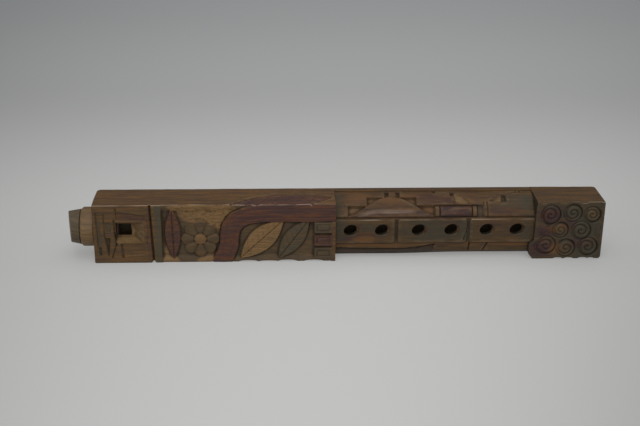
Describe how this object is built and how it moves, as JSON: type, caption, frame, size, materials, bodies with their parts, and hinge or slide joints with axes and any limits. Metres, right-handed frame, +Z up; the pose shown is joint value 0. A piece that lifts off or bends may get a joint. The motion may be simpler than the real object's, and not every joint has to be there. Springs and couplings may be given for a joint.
{
  "type": "carved duct flute",
  "caption": "Square-section carved wooden duct flute with a bamboo pipe inside, a round mouthpiece, a sound window and finger holes.",
  "frame": {"origin": "on the surface that the flute lies on, under the middle of its bounding box", "axes": "+X along the flute from the mouthpiece to the tail; -Y out of the front with the finger holes; +Z up from the flat underside"},
  "size_m": [0.4238, 0.0356, 0.049],
  "materials": {
    "casing_wood": "waxed carved hardwood, stained dark",
    "bamboo": "dry bamboo",
    "collar_bamboo": "polished by handling",
    "tip_wood": "dark turned wood, waxed",
    "block_wood": "plain softwood"
  },
  "bodies": {
    "flute_body": {"carved_casing": "casing_wood", "bamboo_pipe": "bamboo", "mouth_collar": "collar_bamboo"},
    "mouthpiece": {"mouth_tip": "tip_wood", "fipple_block": "block_wood"}
  },
  "joints": [
    {"name": "mouthpiece_draw", "type": "slide", "parent": "flute_body", "child": "mouthpiece", "axis": [-1, 0, 0], "range_m": [0, 0.034]}
  ]
}
